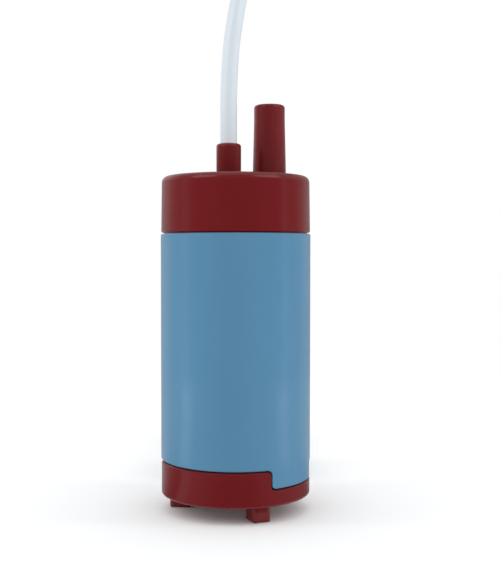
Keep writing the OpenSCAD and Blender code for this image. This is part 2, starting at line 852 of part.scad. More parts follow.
module pod_o_rings() {
    r = pod_in - ring_clear - small_ring_d / 2;
    color("black") {
        ring(r, small_ring_d, z_carrier_plug + carrier_plug / 2);
        ring(r, small_ring_d, z_lid_plug + lid_plug / 2);
    }
}

module base_o_ring() {
    color("black") ring(casing_in - ring_clear - o_ring_d / 2, o_ring_d, z_seam + collar_h / 2);
}

module cap_o_ring() {
    color("black") ring(casing_in - ring_clear - o_ring_d / 2, o_ring_d, z_cap - plug_len / 2);
}

module riser_o_ring() {
    ring_r = riser_r + fit - ring_clear / 2 - small_ring_d / 2;
    color("black") at_gland() ring(ring_r, small_ring_d, z_riser_groove + riser_groove_h / 2);
}

module motor_cushion() {
    r = motor_r - cushion_inset;
    color("dimgray") tube(r, r - cushion_w, z_motor_end, cushion_h);
}

// Motor

module motor_can() {
    color("silver") difference() {
        union() {
            disc(motor_r, z_motor, z_end_cap - z_motor);
            disc(boss_d / 2, z_motor - boss_h, boss_h + over);
        }
        disc(can_in, z_motor + can_wall, motor_len);
        disc(bush_r, z_motor - boss_h + boss_lip, motor_len);
        disc(shaft_r + can_pass, z_motor - boss_h - over, motor_len);
        around(2, 90) translate([peg_spread, 0, 0]) disc(peg_r + fit, z_motor - over, can_wall + 2 * over);
    }
}

module motor_end_cap() {
    holder_w = brush_w + 2 * holder_wall;
    holder_end = can_in - cap_skirt;
    color("dimgray") difference() {
        union() {
            disc(motor_r, z_end_cap, end_cap_h);
            disc(can_in - fit, z_end_cap - end_cap_plug, end_cap_plug);
            disc(bush_r + 1.2, z_motor_end, rear_boss_h);
        }
        difference() {
            disc(holder_end, z_end_cap - end_cap_plug - over, z_end_wall - z_end_cap + end_cap_plug + over);
            around(2) difference() {
                translate([commutator_d / 2 + holder_gap, -holder_w / 2, z_holder])
                    cube([holder_end - commutator_d / 2, holder_w, z_end_wall - z_holder + over]);
                translate([0, -brush_w / 2 - fit, z_brush - fit])
                    cube([motor_r - 1, brush_w + 2 * fit, brush_h + 2 * fit]);
            }
        }
        disc(bush_r - bush_step, z_end_wall - over, motor_len);
        around(2) translate([terminal_x - fit, -terminal_w / 2 - fit, z_holder - over])
            cube([terminal_t + 2 * fit, terminal_w + 2 * fit, motor_len]);
    }
}

module magnets() {
    color("slategray") around(2, -magnet_angle / 2)
        sector(magnet_in, can_in - fit, z_magnet, magnet_len, 0, magnet_angle);
}

module magnet_clips() {
    clip_t = 0.7;
    clip_h = 12;
    clip_angle = 180 - magnet_angle - 1;
    z_clip = z_magnet + (magnet_len - clip_h) / 2;
    color("silver") around(2, 90 - clip_angle / 2)
        sector(can_in - fit - clip_t, can_in - fit, z_clip, clip_h, 0, clip_angle);
}

module armature_core() {
    color("gray") difference() {
        union() {
            disc(core_hub_r, z_core, core_len);
            around(pole_count) translate([core_hub_r / 2, -neck_w / 2, z_core])
                cube([shoe_in + shoe_t / 2 - core_hub_r / 2, neck_w, core_len]);
            difference() {
                tube(core_r, shoe_in, z_core, core_len);
                around(pole_count, 180 / pole_count) translate([0, -shoe_gap / 2, z_core - over])
                    cube([motor_r, shoe_gap, core_len + 2 * over]);
            }
        }
        disc(shaft_r, z_core - over, core_len + 2 * over);
    }
}

module windings() {
    tall = core_len + 2 * coil_over;
    color("peru") around(pole_count) translate([coil_in, 0, z_core + core_len / 2]) rotate([90, 0, 90])
        linear_extrude(coil_out - coil_in) difference() {
            rounded_rect(2 * coil_half, tall, coil_t);
            square([neck_w + 2 * fit, core_len + 2 * fit], center = true);
        }
}

module commutator_bars() {
    color("peru") difference() {
        tube(commutator_d / 2, commutator_in, z_commutator, commutator_len);
        around(pole_count) translate([0, -bar_gap / 2, z_commutator - over])
            cube([commutator_d, bar_gap, commutator_len + 2 * over]);
    }
}

module commutator_core() {
    color("saddlebrown") tube(commutator_in, shaft_r, z_commutator, commutator_len);
}

module shaft() {
    color("lightgray") disc(shaft_r, z_vane + hub_blind, z_shaft_end - z_vane - hub_blind);
}

module spacer_sleeves() {
    front = z_motor + can_wall + run_gap + washer_t;
    color("white") {
        tube(sleeve_r, shaft_r, front, z_core - front);
        tube(sleeve_r, shaft_r, z_core + core_len, z_commutator - z_core - core_len);
    }
}

module thrust_washers() {
    color("tan") {
        tube(washer_r, shaft_r, z_motor + can_wall + run_gap, washer_t);
        tube(washer_r, shaft_r, z_commutator + commutator_len, washer_t);
    }
}

module front_bush() {
    z = z_motor - boss_h + boss_lip;
    color("goldenrod") tube(bush_r - fit, shaft_hole_r, z, z_motor + can_wall - z);
}

module rear_bush() {
    color("goldenrod")
        tube(bush_r - bush_step - fit, shaft_hole_r, z_end_wall, end_wall_t + rear_boss_h);
}

module brushes() {
    color("black") around(2) translate([commutator_d / 2 + shaft_clear, -brush_w / 2, z_brush])
        cube([brush_len, brush_w, brush_h]);
}

module terminals() {
    color("gold") around(2) translate([terminal_x, -terminal_w / 2, z_holder])
        cube([terminal_t, terminal_w, z_motor_end + terminal_rise - z_holder]);
}

// Cable entry

module cable_grommet() {
    color("dimgray") at_gland() {
        tube(riser_r, cable_d / 2 + fit / 2, z_riser_top, grommet_flange_t);
        tube(grommet_r, cable_d / 2 + fit / 2, z_ceiling, z_gland - gland_lip - z_ceiling);
    }
}

module cable_entry() {
    color("whitesmoke") at_gland() disc(cable_d / 2, z_cable_end, z_gland - z_cable_end);
}

module strain_clamp() {
    color("silver") at_gland() tube(cable_d / 2 + clamp_wall, cable_d / 2 + fit / 2, z_cable_end, clamp_h);
}

// Lead from the end of the cable, clear of the rear boss, to a terminal on the side given
module lead(side) {
    start = [gland_x + side * core_d * 0.6, gland_y, z_cable_end];
    level = z_motor_end + rear_boss_h + lead_d / 2 + 0.2;
    drop = z_cable_end - level;
    finish = [side * (terminal_x - fit), 0, level];
    reach = finish - start;
    swept([
        start, start + [0, 0, -0.3 * drop], start + [side * 0.3 * drop, 0, -0.8 * drop],
        [start.x + reach.x * 0.3, start.y + reach.y * 0.2, level],
        [start.x + reach.x * 0.6, start.y + reach.y * 0.8, level],
        finish - [side * lead_d, 0, 0], finish
    ], lead_d, 8, [0, 1, 0]);
}

module lead_positive() {
    color("saddlebrown") lead(1);
}

module lead_negative() {
    color("royalblue") lead(-1);
}

// Free cable and its tied hank

hank_outer = hank_r + hank_step;
hank_far = hank_near + hank_run;
hank_low = cable_route[len(cable_route) - 1].z;
tie_clear = 0.4;
tie_side_clear = 0.9;
hank_lift = tie_t + tie_clear;

// Rounded rise from 0 to 1, and the draw towards the waist along a run
function rise(s) = (1 - cos(180 * s)) / 2;
function drawn(s) = (1 - cos(360 * s)) / 2;

// Arc radius and layer height: half a turn in, half a turn level with the climb, half a turn out
function hank_arc(t) = hank_r
    + hank_step * (t < 1 ? min(1, 2 * (1 - t)) : t < 1.5 ? 0 : min(1, 2 * (t - 1.5)));
function hank_height(t) = hank_low + hank_layer * (t < 1.25 ? 0 : t < 1.5 ? rise((t - 1.25) * 4) : 1);

// A loop is a far arc, a run towards the pump, a near arc and a run back
function hank_point(t) = let (
    phase = 4 * (t - floor(t)), quarter = floor(phase), s = phase - quarter, r = hank_arc(t),
    half = r - (hank_r - hank_waist) * drawn(s), z = hank_height(t), lift = hank_lift * drawn(s))
    quarter == 0 ? [r * cos(180 * s), hank_far + r * sin(180 * s), z] :
    quarter == 1 ? [-half, hank_far - hank_run * s, z + lift] :
    quarter == 2 ? [-r * cos(180 * s), hank_near - r * sin(180 * s), z] :
    [half, hank_near + hank_run * s, z + lift];

rings_in_loop = 24;
hank_loops = hank_rings / rings_in_loop;
hank_last = hank_point(hank_loops);
hank_way = unit(hank_last - hank_point(hank_loops - 0.01));
hank_end = hank_last + hank_way * cable_d;
hank_start = cable_route[len(cable_route) - 1];
hank_lead = [hank_start, hank_start + [0, cable_d, 0]];
hank_path = concat(
    hank_lead, [for (i = [0:hank_rings]) hank_point(i / rings_in_loop)], [hank_end]
);

// Least gap between stretches of the tube that lie over a quarter of a loop apart, and the whole length
fine_step = 0.01;
fine = [for (t = [0:fine_step:hank_loops]) hank_point(t)];
fine_apart = round(0.25 / fine_step);
hank_gap = min([
    for (i = [0:len(fine) - 1]) for (j = [i + fine_apart:1:len(fine) - 1]) norm(fine[i] - fine[j])
]) - cable_d;
function path_length(path) = let (steps = [for (i = [1:len(path) - 1]) norm(path[i] - path[i - 1])])
    steps * [for (s = steps) 1];
echo(least_gap_in_hank = hank_gap);
echo(cable_length = path_length(cable_route) + path_length(concat(hank_lead, fine, [hank_end])));

module cable() {
    color("whitesmoke") swept(cable_route, cable_d, 8, [1, 0, 0]);
}

module cable_hank() {
    color("whitesmoke") swept(hank_path, cable_d, 6, [0, 0, 1]);
}

module cable_tie() {
    corner_r = 3;
    half = hank_waist + hank_step + cable_d / 2 + tie_side_clear;
    tall = hank_layer + cable_d + 2 * tie_clear;
    z_mid = hank_low + hank_lift + hank_layer / 2;
    head = [6, tie_w + 1.2, 4.5];
    color("white") translate([0, hank_near + hank_run / 2, z_mid]) {
        rotate([90, 0, 0]) linear_extrude(tie_w, center = true) difference() {
            rounded_rect(2 * (half + tie_t), tall + 2 * tie_t, corner_r + tie_t);
            rounded_rect(2 * half, tall, corner_r);
        }
        translate([half / 2, -head.y / 2, tall / 2 + tie_t / 2]) cube(head);
    }
}

// A stripped core leaves the end of the sheath on the side given and sinks towards the run below it
core_spread = 0.27 * cable_d;
core_straight = 1.5;
core_drop = 1.6;
core_across = unit(cross([0, 0, 1], hank_way));
loops_per_mm = 0.25 / hank_run;
function core_bend(s) = hank_point(hank_loops + (cable_d + s) * loops_per_mm)
    - [0, 0, core_drop * rise(s / core_end_len)];
function core_path(side) = let (
    start = hank_end + hank_way * fit + core_across * side * core_spread, shift = start - core_bend(0))
    concat([start, start + hank_way * core_straight],
        [for (part = [0.35, 0.7, 1]) core_bend(part * core_end_len) + shift]);

module core_end(side) {
    swept(core_path(side), core_d, 8, [0, 0, 1]);
}

module core_positive() {
    color("saddlebrown") core_end(1);
}

module core_negative() {
    color("royalblue") core_end(-1);
}

module core_tips() {
    color("silver") for (side = [-1, 1]) let (path = core_path(side), last = len(path) - 1)
        swept([for (part = [0, 0.5, 1]) path[last] + heading(path, last) * part * strand_len],
            strand_d, 8, [0, 0, 1]);
}

casing();
top_cap();
outlet_tail();
cable_gland();
strainer_base();
inlet_plate();
impeller();
seal_carrier();
shaft_seal();
seal_washer();
motor_pod();
pod_lid();
pod_o_rings();
base_o_ring();
cap_o_ring();
riser_o_ring();
motor_cushion();
motor_can();
motor_end_cap();
magnets();
magnet_clips();
armature_core();
windings();
commutator_bars();
commutator_core();
shaft();
spacer_sleeves();
thrust_washers();
front_bush();
rear_bush();
brushes();
terminals();
cable_grommet();
cable_entry();
strain_clamp();
lead_positive();
lead_negative();
cable();
cable_hank();
cable_tie();
core_positive();
core_negative();
core_tips();
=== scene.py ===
import json
import math

import bmesh
import bpy
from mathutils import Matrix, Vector


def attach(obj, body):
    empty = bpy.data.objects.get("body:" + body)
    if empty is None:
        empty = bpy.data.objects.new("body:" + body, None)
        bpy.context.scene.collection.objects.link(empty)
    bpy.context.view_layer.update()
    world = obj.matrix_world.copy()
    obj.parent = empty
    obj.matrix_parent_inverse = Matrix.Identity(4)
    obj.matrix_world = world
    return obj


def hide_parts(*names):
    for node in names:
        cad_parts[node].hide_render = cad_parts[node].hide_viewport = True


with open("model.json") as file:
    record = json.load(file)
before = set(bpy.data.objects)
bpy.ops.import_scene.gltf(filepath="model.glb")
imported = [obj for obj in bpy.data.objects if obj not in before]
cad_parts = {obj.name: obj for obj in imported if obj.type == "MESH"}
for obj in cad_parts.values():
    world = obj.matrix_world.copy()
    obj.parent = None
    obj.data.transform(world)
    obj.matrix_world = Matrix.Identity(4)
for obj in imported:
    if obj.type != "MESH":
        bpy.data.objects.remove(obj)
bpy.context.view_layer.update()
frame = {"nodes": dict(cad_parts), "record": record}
scene = bpy.context.scene
nodes = frame["nodes"]
MM = 0.001


def mm(*values):
    """A point or vector given in millimetres, in metres."""
    return Vector(values) * MM


# Materials

SLOW_SCALE = 60
SLOW_SPAN = (0.15, 0.85)
GLOSS_SHIFT = 0.12
GRAIN_HEIGHT = 0.0002
COAT_ROUGH = 0.08


def new_material(name):
    """A node material and its shader, with the object's own coordinates in metres as texture space."""
    material = bpy.data.materials.new(name)
    material.use_nodes = True
    tree = material.node_tree
    shader = tree.nodes["Principled BSDF"]
    coords = tree.nodes.new("ShaderNodeTexCoord")
    return material, tree, shader, coords.outputs["Object"]


def noise(tree, coords, scale, detail, roughness, stretch=(1, 1, 1)):
    """Noise over the object's coordinates, with its features drawn out along the axes given."""
    mapping = tree.nodes.new("ShaderNodeMapping")
    mapping.inputs["Scale"].default_value = stretch
    tree.links.new(coords, mapping.inputs["Vector"])
    texture = tree.nodes.new("ShaderNodeTexNoise")
    texture.inputs["Scale"].default_value = scale
    texture.inputs["Detail"].default_value = detail
    texture.inputs["Roughness"].default_value = roughness
    tree.links.new(mapping.outputs["Vector"], texture.inputs["Vector"])
    return texture.outputs["Fac"]


def spread(tree, value, low, high, start=0.35, end=0.65):
    """A value between start and end mapped onto low to high."""
    node = tree.nodes.new("ShaderNodeMapRange")
    node.inputs["From Min"].default_value = start
    node.inputs["From Max"].default_value = end
    node.inputs["To Min"].default_value = low
    node.inputs["To Max"].default_value = high
    tree.links.new(value, node.inputs["Value"])
    return node.outputs["Result"]


def mix(tree, factor, first, second):
    """A colour between two given ones, by a factor link."""
    node = tree.nodes.new("ShaderNodeMix")
    node.data_type = "RGBA"
    tree.links.new(factor, node.inputs["Factor"])
    node.inputs["A"].default_value = (*first, 1)
    node.inputs["B"].default_value = (*second, 1)
    return node.outputs["Result"]


def bump(tree, shader, height, strength):
    """Fine relief on the shader's normal from a height link."""
    node = tree.nodes.new("ShaderNodeBump")
    node.inputs["Strength"].default_value = strength
    node.inputs["Distance"].default_value = GRAIN_HEIGHT
    tree.links.new(height, node.inputs["Height"])
    tree.links.new(node.outputs["Normal"], shader.inputs["Normal"])


def shade(colour, share):
    """A colour made lighter or darker by a share."""
    return tuple(min(1, c * share) for c in colour)


def plastic(name, colour, rough, grain=2500, depth=0.03, vary=0.05, specular=0.4, coat=0.0,
            drawn=(1, 1, 1)):
    """Moulded plastic: slow shifts of colour and gloss, a fine moulded grain and a share of sharp gloss."""
    material, tree, shader, coords = new_material(name)
    slow = noise(tree, coords, SLOW_SCALE, 4, 0.6, drawn)
    fine = noise(tree, coords, grain, 2, 0.5)
    tint = mix(tree, spread(tree, slow, 0, 1, *SLOW_SPAN), shade(colour, 1 - vary), shade(colour, 1 + vary))
    gloss = spread(tree, slow, rough * (1 - GLOSS_SHIFT), rough * (1 + GLOSS_SHIFT), *SLOW_SPAN)
    tree.links.new(tint, shader.inputs["Base Color"])
    tree.links.new(gloss, shader.inputs["Roughness"])
    shader.inputs["Specular IOR Level"].default_value = specular
    shader.inputs["Coat Weight"].default_value = coat
    shader.inputs["Coat Roughness"].default_value = COAT_ROUGH
    bump(tree, shader, fine, depth)
    return material


def metal(name, colour, rough, scale=400, drawn=(1, 1, 1), depth=0.05, vary=0.12):
    """Bare metal: drawn or turned marks in its colour, gloss and surface."""
    material, tree, shader, coords = new_material(name)
    marks = noise(tree, coords, scale, 4, 0.6, drawn)
    tint = mix(tree, spread(tree, marks, 0, 1), shade(colour, 1 - vary), shade(colour, 1 + vary * 0.5))
    tree.links.new(tint, shader.inputs["Base Color"])
    tree.links.new(spread(tree, marks, rough * 0.8, rough * 1.25), shader.inputs["Roughness"])
    shader.inputs["Metallic"].default_value = 1.0
    bump(tree, shader, marks, depth)
    return material


LOOKS = {
    "casing_blue": plastic("casing_blue_plastic", (0.081, 0.227, 0.372), 0.38, specular=0.25, coat=0.5,
                           drawn=(1, 1, 0.25)),
    "moulded_red": plastic("red_plastic", (0.144, 0.0078, 0.0095), 0.3, specular=0.1, coat=0.42),
    "moulded_black": plastic("black_plastic", (0.02, 0.02, 0.022), 0.45),
    "moulded_white": plastic("natural_nylon", (0.72, 0.72, 0.69), 0.4),
    "cable_sheath": plastic("milky_sheath", (0.63, 0.694, 0.742), 0.33, vary=0.03),
    "seal_rubber": plastic("seal_rubber", (0.012, 0.012, 0.012), 0.62, grain=4000, depth=0.05),
    "bright_steel": metal("bright_steel", (0.62, 0.63, 0.64), 0.24, drawn=(1, 1, 8)),
    "plated_can": metal("plated_can", (0.52, 0.52, 0.50), 0.34, drawn=(1, 1, 0.2)),
    "ferrite": plastic("ferrite", (0.022, 0.022, 0.025), 0.5, grain=1500, depth=0.08),
    "core_steel": metal("core_steel", (0.30, 0.30, 0.31), 0.45, scale=300, drawn=(0.2, 0.2, 9), depth=0.2),
    "copper": metal("copper", (0.72, 0.33, 0.16), 0.33, scale=500, drawn=(1, 1, 6), depth=0.2),
    "bronze": metal("bronze", (0.52, 0.34, 0.14), 0.42, scale=1500),
    "carbon": plastic("carbon", (0.015, 0.015, 0.015), 0.55, grain=1800, depth=0.08),
    "core_brown": plastic("brown_core", (0.085, 0.03, 0.014), 0.4),
    "core_blue": plastic("blue_core", (0.02, 0.09, 0.33), 0.4),
    "tinned_strand": metal("tinned_strand", (0.66, 0.65, 0.62), 0.3, scale=900),
}

for part in frame["record"]["subparts"]:
    data = nodes[part["node"]].data
    data.materials.clear()
    data.materials.append(LOOKS[part["material_slot"]])


def dress(piece, slot, body="casing", replaced=()):
    """Links a new piece, gives it its finish and makes it ride on a body."""
    scene.collection.objects.link(piece)
    piece.data.materials.append(LOOKS[slot])
    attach(piece, body)
    if replaced:
        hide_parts(*replaced)
    return piece


def mesh_piece(name, shape):
    """An object from a bmesh shape, which is freed."""
    mesh = bpy.data.meshes.new(name)
    shape.to_mesh(mesh)
    shape.free()
    return bpy.data.objects.new(name, mesh)


# Cable route and hank, at the same points as in the part's source but for the crest, in millimetres

CABLE_D = 5.3
FIT = 0.05
HANK_NEAR = 54.0
HANK_RUN = 60.0
HANK_R = 16.0
HANK_WAIST = 4.8
HANK_STEP = 7.0
HANK_LAYER = 5.9
HANK_LOW = 2.7
HANK_FAR = HANK_NEAR + HANK_RUN
HANK_RINGS = 58
RINGS_IN_LOOP = 24
HANK_LOOPS = HANK_RINGS / RINGS_IN_LOOP
HANK_STEPS = 180
ROUTE_STEPS = 6
TIE_W = 4.8
TIE_T = 1.1
TIE_CLEAR = 0.4
TIE_SIDE_CLEAR = 0.9
HANK_LIFT = TIE_T + TIE_CLEAR

# The smooth cable rises between its points, so its crest is set lower, to stay under the solid one
CREST_DROP = 0.35

ROUTE = [
    (-2.2, -1.6, 117.2), (-2.2, -1.6, 124), (-2.2, -1.6, 132), (-1.9, -1.6, 140),
    (-1.3, -1.5, 148.5), (0, -1.2, 157.5), (1.6, 0.6, 167), (2.6, 5, 178),
    (3, 13, 188), (3.2, 24, 196), (3.2, 37, 200 - CREST_DROP), (3, 51, 199.5 - CREST_DROP),
    (2.4, 64, 194.5), (1.2, 75, 184.5), (-0.4, 80, 174), (-1.8, 82, 164),
    (-2.5, 83, 154), (-2.9, 83.5, 142), (-3, 83, 128), (-2, 81, 114),
    (1, 77, 98), (6, 71, 80), (12, 64.5, 62), (18, 59.5, 45),
    (21.5, 58, 31), (22.8, 60.5, 18), (23, 68, 8.5), (23, 79, 3.8),
    (23, 90, 2.7), (23, 98, 2.7),
]


def rise(s):
    """A rounded rise from 0 to 1."""
    return (1 - math.cos(math.pi * s)) / 2


def drawn_in(s):
    """The draw towards the waist along a run."""
    return (1 - math.cos(2 * math.pi * s)) / 2


def hank_arc(t):
    """Radius of the hank's arcs: half a turn in, half a turn level, half a turn out."""
    if t < 1:
        return HANK_R + HANK_STEP * min(1, 2 * (1 - t))
    return HANK_R + HANK_STEP * (0 if t < 1.5 else min(1, 2 * (t - 1.5)))


def hank_height(t):
    """Height of the hank's layer, with the climb to the second one."""
    if t < 1.25:
        return HANK_LOW
    return HANK_LOW + HANK_LAYER * (rise((t - 1.25) * 4) if t < 1.5 else 1)


def hank_point(t):
    """A point of the hank: far arc, run towards the pump, near arc, run back."""
    phase = 4 * (t - math.floor(t))
    quarter = math.floor(phase)
    s = phase - quarter
    r = hank_arc(t)
    half = r - (HANK_R - HANK_WAIST) * drawn_in(s)
    z = hank_height(t)
    lift = HANK_LIFT * drawn_in(s)
    turn = math.pi * s
    return Vector((
        (r * math.cos(turn), HANK_FAR + r * math.sin(turn), z),
        (-half, HANK_FAR - HANK_RUN * s, z + lift),
        (-r * math.cos(turn), HANK_NEAR - r * math.sin(turn), z),
        (half, HANK_NEAR + HANK_RUN * s, z + lift),
    )[quarter])


def smooth(points, steps):
    """Points on one smooth curve through those given."""
    points = [Vector(p) for p in points]
    ends = [2 * points[0] - points[1], *points, 2 * points[-1] - points[-2]]
    found = []
    for a, b, c, d in zip(ends, ends[1:], ends[2:], ends[3:]):
        for i in range(steps):
            u = i / steps
            found.append(0.5 * (2 * b + (c - a) * u + (2 * a - 5 * b + 4 * c - d) * u * u
                                + (3 * b - a - 3 * c + d) * u ** 3))
    return [*found, points[-1]]


def tube_piece(name, points, diameter, resolution=4):
    """A round tube as a curve of one open spline through points in millimetres."""
    curve = bpy.data.curves.new(name, "CURVE")
    curve.dimensions = "3D"
    curve.bevel_depth = diameter * MM / 2
    curve.bevel_resolution = resolution
    curve.use_fill_caps = True
    spline = curve.splines.new("POLY")
    spline.points.add(len(points) - 1)
    for place, p in zip(spline.points, points):
        place.co = (*(Vector(p) * MM), 1)
    spline.use_smooth = True
    return bpy.data.objects.new(name, curve)


hank_last = hank_point(HANK_LOOPS)
hank_way = (hank_last - hank_point(HANK_LOOPS - 0.01)).normalized()
hank_end = hank_last + hank_way * CABLE_D
hank_points = [hank_point(HANK_LOOPS * i / HANK_STEPS) for i in range(HANK_STEPS + 1)]
cable_points = [*smooth(ROUTE, ROUTE_STEPS), *hank_points, hank_end]
cable = dress(tube_piece("supply_cable", cable_points, CABLE_D, 6), "cable_sheath",
              replaced=("cable", "cable_hank"))


# Cable ends

CORE_D = 2.0
CORE_END_LEN = 22.0
CORE_SPREAD = 0.27 * CABLE_D
CORE_STRAIGHT = 1.5
CORE_DROP = 1.6
CORE_SHARES = (0.35, 0.7, 1)
LOOPS_PER_MM = 0.25 / HANK_RUN
STRAND_LEN = 8.0
STRAND_BUNDLE_D = 1.1
STRAND_THICK = STRAND_BUNDLE_D / 3
STRANDS_AROUND = 6
STRAND_TWIST = 2.6
STRAND_STEPS = 12
STRAND_SIDES = 8


def core_bend(s):
    """A point of the hank's line, past its end by a length, that sinks towards the run below."""
    sunk = Vector((0, 0, CORE_DROP * rise(s / CORE_END_LEN)))
    return hank_point(HANK_LOOPS + (CABLE_D + s) * LOOPS_PER_MM) - sunk


def core_path(side):
    """Points of a stripped core that leaves the end of the sheath on the side given."""
    across = Vector((0, 0, 1)).cross(hank_way).normalized()
    start = hank_end + hank_way * FIT + across * side * CORE_SPREAD
    shift = start - core_bend(0)
    bends = [core_bend(share * CORE_END_LEN) + shift for share in CORE_SHARES]
    return [start, start + hank_way * CORE_STRAIGHT, *bends]


def strands(name, start, way):
    """A bundle of twisted strands, six round one, at the stripped end of a core."""
    side = way.cross(Vector((0, 0, 1))).normalized()
    up = side.cross(way)
    shape = bmesh.new()

    def around(angle):
        return side * math.cos(angle) + up * math.sin(angle)

    for strand in range(STRANDS_AROUND + 1):
        reach = 0 if strand == STRANDS_AROUND else STRAND_THICK
        rings = []
        for i in range(STRAND_STEPS + 1):
            u = i / STRAND_STEPS
            out = around(strand * math.tau / STRANDS_AROUND + STRAND_TWIST * u)
            p = start + way * STRAND_LEN * u + reach * out
            turns = [k * math.tau / STRAND_SIDES for k in range(STRAND_SIDES)]
            rings.append([shape.verts.new((p + STRAND_THICK / 2 * around(turn)) * MM) for turn in turns])
        for one, two in zip(rings, rings[1:]):
            for k in range(STRAND_SIDES):
                after = (k + 1) % STRAND_SIDES
                shape.faces.new((one[k], one[after], two[after], two[k]))
        shape.faces.new(rings[0][::-1])
        shape.faces.new(rings[-1])
    bmesh.ops.recalc_face_normals(shape, faces=shape.faces)
    piece = mesh_piece(name, shape)
    piece.data.polygons.foreach_set("use_smooth", [True] * len(piece.data.polygons))
    return piece


cord_pieces = []
for label, side, slot in (("positive", 1, "core_brown"), ("negative", -1, "core_blue")):
    path = core_path(side)
    core = dress(tube_piece(f"core_{label}_wire", smooth(path, ROUTE_STEPS), CORE_D), slot,
                 replaced=(f"core_{label}",))
    way = (path[-1] - path[-2]).normalized()
    tip = dress(strands(f"core_{label}_strands", path[-1], way), "tinned_strand", replaced=("core_tips",))
    cord_pieces += [core, tip]


# Tie round the waist of the hank

TIE_CORNER_R = 3.0
TIE_EDGE = 0.25
TIE_HEAD = (6.0, TIE_W + 1.2, 4.5)
TIE_HEAD_EDGE = 0.6
TIE_SHARP_ANGLE = 40


def rounded_loop(half_w, half_h, r, steps=8):
    """Points round a rounded rectangle, counterclockwise from the right-hand side."""
    points = []
    for cx, cy, start in ((1, 1, 0), (-1, 1, 90), (-1, -1, 180), (1, -1, 270)):
        for i in range(steps + 1):
            a = math.radians(start + 90 * i / steps)
            points.append((cx * (half_w - r) + r * math.cos(a), cy * (half_h - r) + r * math.sin(a)))
    return points


def tie_piece(name):
    """A band with softened edges round the hank's waist, and the tie's head on it."""
    half = HANK_WAIST + HANK_STEP + CABLE_D / 2 + TIE_SIDE_CLEAR
    tall = (HANK_LAYER + CABLE_D + 2 * TIE_CLEAR) / 2
    z_mid = HANK_LOW + HANK_LIFT + HANK_LAYER / 2
    y_mid = HANK_NEAR + HANK_RUN / 2
    inner = rounded_loop(half, tall, TIE_CORNER_R)
    outer = rounded_loop(half + TIE_T, tall + TIE_T, TIE_CORNER_R + TIE_T)
    w = TIE_W / 2
    soft = TIE_EDGE / TIE_T
    section = (
        (0, -w + TIE_EDGE), (0, w - TIE_EDGE), (soft, w), (1 - soft, w),
        (1, w - TIE_EDGE), (1, -w + TIE_EDGE), (1 - soft, -w), (soft, -w),
    )
    shape = bmesh.new()
    rows = []
    for (xi, zi), (xo, zo) in zip(inner, outer):
        way = Vector((xo - xi, 0, zo - zi))
        centre = Vector((xi, y_mid, z_mid + zi))
        ring = [centre + way * depth + Vector((0, y, 0)) for depth, y in section]
        rows.append([shape.verts.new(p * MM) for p in ring])
    for i, row in enumerate(rows):
        after = rows[(i + 1) % len(rows)]
        for k in range(len(section)):
            other = (k + 1) % len(section)
            shape.faces.new((row[k], row[other], after[other], after[k]))
    low = Vector((half / 2, y_mid - TIE_HEAD[1] / 2, z_mid + tall + TIE_T / 2))
    block = bmesh.ops.create_cube(shape, size=1)["verts"]
    for v in block:
        v.co = Vector([(low[k] + TIE_HEAD[k] * (v.co[k] + 0.5)) * MM for k in range(3)])
    edges = {e for v in block for e in v.link_edges}
    bmesh.ops.bevel(shape, geom=list(edges), offset=TIE_HEAD_EDGE * MM, segments=3, affect="EDGES",
                    profile=0.5)
    bmesh.ops.recalc_face_normals(shape, faces=shape.faces)
    piece = mesh_piece(name, shape)
    piece.data.polygons.foreach_set("use_smooth", [True] * len(piece.data.polygons))
    piece.data.set_sharp_from_angle(angle=math.radians(TIE_SHARP_ANGLE))
    return piece


tie = dress(tie_piece("hank_tie"), "moulded_white", replaced=("cable_tie",))
cord_pieces.append(tie)


# Floor

FLOOR_REACH = 6.0
FLOOR_ENDS = (-FLOOR_REACH, FLOOR_REACH)


def matt_material(name):
    """A matt material without gloss, with its node tree, shader and coordinates."""
    material, tree, shader, coords = new_material(name)
    shader.inputs["Roughness"].default_value = 0.9
    shader.inputs["Specular IOR Level"].default_value = 0.0
    return material, tree, shader, coords


def stage_piece(name, rows, material):
    """A staged sheet through rows of points in metres."""
    shape = bmesh.new()
    grid = [[shape.verts.new(p) for p in row] for row in rows]
    for one, two in zip(grid, grid[1:]):
        for a, b, c, d in zip(one, one[1:], two[1:], two):
            shape.faces.new((a, b, c, d))
    piece = mesh_piece(name, shape)
    scene.collection.objects.link(piece)
    piece.data.materials.append(material)
    return piece


floor_white, _, floor_shader, _ = matt_material("floor")
floor_shader.inputs["Base Color"].default_value = (1, 1, 1, 1)
stage_piece("floor", [[(x, y, 0) for x in FLOOR_ENDS] for y in FLOOR_ENDS], floor_white)


# Cards that only reflections see, in greys by the angle in degrees from the front: painted reflections of
# the dark front, the strip lights and the paler sides and back

CARD_RADIUS = 0.35
CARD_MIDDLE = 0.1
CARD_INNER = 0.032
CARD_HEIGHT = 0.6
CARD_SPLIT = 0.15
CARD_LIFT = 0.0004
CARD_STEPS = 96
HIGH_REFLECTION_GREYS = (
    (-180, 0.3), (-160, 0.7), (-134, 0.85), (-112, 0.7), (-98, 0.45), (-86, 0.35), (-66, 0.5),
    (-46, 0.26), (-30, 0.23), (0, 0.25), (30, 0.27), (50, 0.33), (70, 0.5), (85, 0.55), (112, 0.5),
    (146, 0.4), (180, 0.3),
)
LOW_REFLECTION_GREYS = (
    (-180, 0.3), (-160, 0.46), (-140, 0.46), (-126, 0.55), (-112, 0.36), (-91, 0.2), (-85, 0.38),
    (-76, 0.38), (-70, 0.16), (-56, 0.03), (68, 0.03), (74, 0.32), (82, 0.32), (88, 0.16),
    (98, 0.16), (110, 0.28), (126, 0.44), (146, 0.38), (160, 0.38), (180, 0.3),
)
